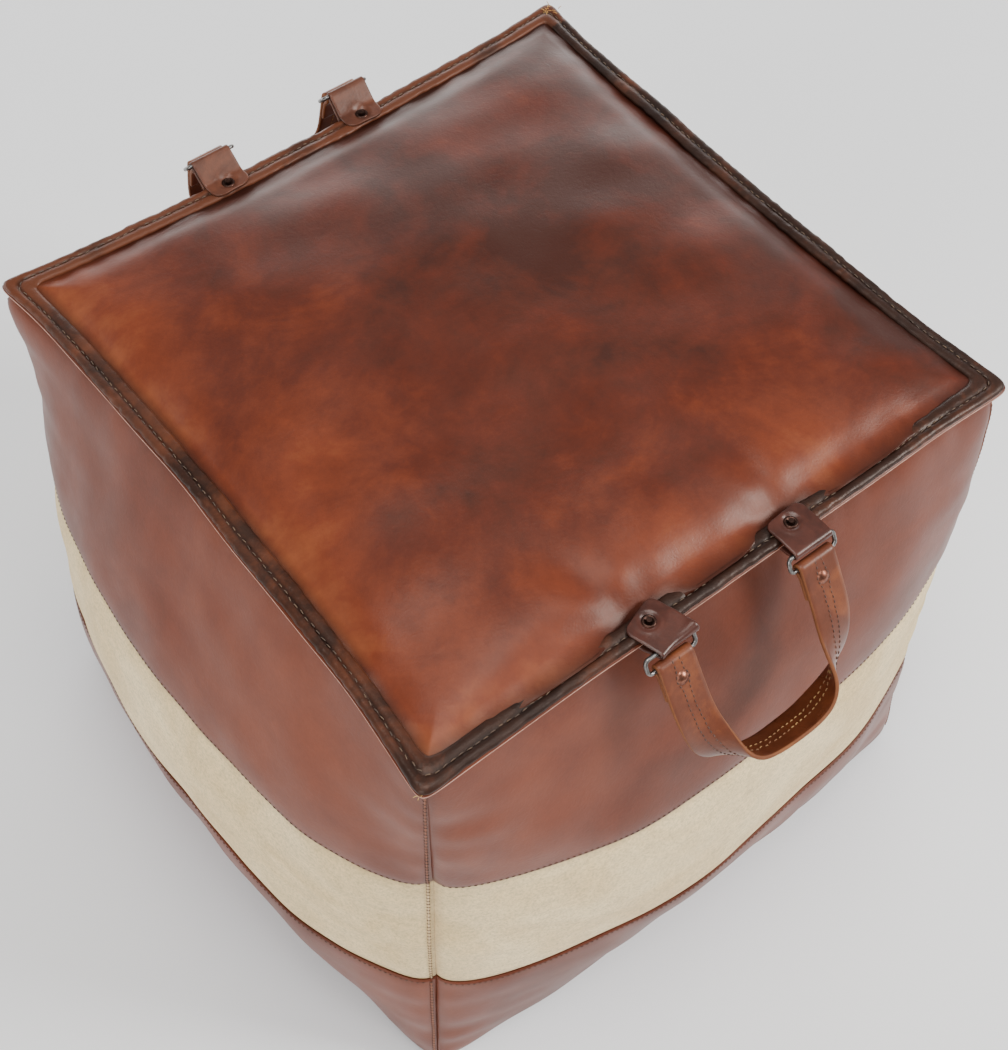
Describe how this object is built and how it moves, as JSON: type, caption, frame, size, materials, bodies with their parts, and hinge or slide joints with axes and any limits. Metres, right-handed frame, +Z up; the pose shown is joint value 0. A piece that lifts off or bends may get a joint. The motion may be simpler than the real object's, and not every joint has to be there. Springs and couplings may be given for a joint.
{
  "type": "leather floor pouf",
  "caption": "Stuffed cube-shaped floor pouf of burnished leather with a cream suede band, bound top edge, ring-hung carrying handles and a base zip.",
  "frame": {"origin": "middle of the base, on the floor, midway between the base corners", "axes": "+Z up; X runs along the two edges that carry the handles; -Y is the front handle's side"},
  "size_m": [0.5385, 0.5569, 0.4669],
  "materials": {
    "top_leather": "burnished cognac leather, semi-gloss, cloudy mottling",
    "binding_leather": "dark burnished leather strip, stitched",
    "side_leather": "smooth mid-brown leather, satin",
    "cream_suede": "brushed cream suede, matte",
    "base_leather": "plain brown leather, satin",
    "front_tab_leather": "dark oxblood leather, semi-gloss",
    "back_tab_leather": "mid-brown leather, satin",
    "strap_leather": "orange-brown leather, satin, stitched",
    "zip_tape": "woven tape",
    "zip_metal": "antique brass",
    "liner_cotton": "plain woven cotton",
    "cotton_filling": "loose cotton stuffing",
    "dark_rivet": "dark antique rivet",
    "copper_rivet": "antique copper rivet",
    "ring_steel": "dark nickel wire"
  },
  "bodies": {
    "root": {"top_panel": "top_leather", "top_binding": "binding_leather", "upper_panel_front": "side_leather", "upper_panel_right": "side_leather", "upper_panel_back": "side_leather", "upper_panel_left": "side_leather", "lower_panel_front": "side_leather", "lower_panel_right": "side_leather", "lower_panel_back": "side_leather", "lower_panel_left": "side_leather", "suede_band_front": "cream_suede", "suede_band_right": "cream_suede", "suede_band_back": "cream_suede", "suede_band_left": "cream_suede", "base_panel_front": "base_leather", "base_panel_back": "base_leather", "zip_tape_front": "zip_tape", "zip_tape_back": "zip_tape", "zip_teeth_front": "zip_metal", "zip_teeth_back": "zip_metal", "zip_stops": "zip_metal", "inner_liner": "liner_cotton", "filling": "cotton_filling", "front_left_tab": "front_tab_leather", "front_right_tab": "front_tab_leather", "back_left_tab": "back_tab_leather", "back_right_tab": "back_tab_leather", "front_tab_rivet_caps": "dark_rivet", "front_tab_rivet_posts": "dark_rivet", "back_tab_rivet_caps": "dark_rivet", "back_tab_rivet_posts": "dark_rivet"},
    "front_rings": {"front_left_ring": "ring_steel", "front_right_ring": "ring_steel"},
    "front_handle": {"front_handle_strap": "strap_leather", "front_handle_rivet_caps": "copper_rivet", "front_handle_rivet_posts": "copper_rivet"},
    "back_rings": {"back_left_ring": "ring_steel", "back_right_ring": "ring_steel"},
    "back_handle": {"back_handle_strap": "strap_leather", "back_handle_rivet_caps": "copper_rivet", "back_handle_rivet_posts": "copper_rivet"},
    "zip_slider": {"zip_slider": "zip_metal"},
    "zip_pull": {"zip_pull": "zip_metal"}
  },
  "joints": [
    {"name": "front_rings_swing", "type": "hinge", "parent": "root", "child": "front_rings", "pos_m": [-0.0075, -0.2274, 0.4414], "axis": [-1, 0, 0], "range_deg": [-8, 125]},
    {"name": "front_handle_swing", "type": "hinge", "parent": "front_rings", "child": "front_handle", "pos_m": [-0.0075, -0.23215, 0.43317], "axis": [-1, 0, 0], "range_deg": [-8, 80]},
    {"name": "back_rings_swing", "type": "hinge", "parent": "root", "child": "back_rings", "pos_m": [-0.0075, 0.22082, 0.45342], "axis": [1, 0, 0], "range_deg": [0, 105]},
    {"name": "back_handle_swing", "type": "hinge", "parent": "back_rings", "child": "back_handle", "pos_m": [-0.0075, 0.22754, 0.4467], "axis": [1, 0, 0], "range_deg": [0, 90]},
    {"name": "zip_slide", "type": "slide", "parent": "root", "child": "zip_slider", "axis": [-1, 0, 0], "range_m": [0, 0.286]},
    {"name": "zip_pull_swing", "type": "hinge", "parent": "zip_slider", "child": "zip_pull", "pos_m": [0.1457, 0, 0.0021], "axis": [0, -1, 0], "range_deg": [0, 150]}
  ]
}
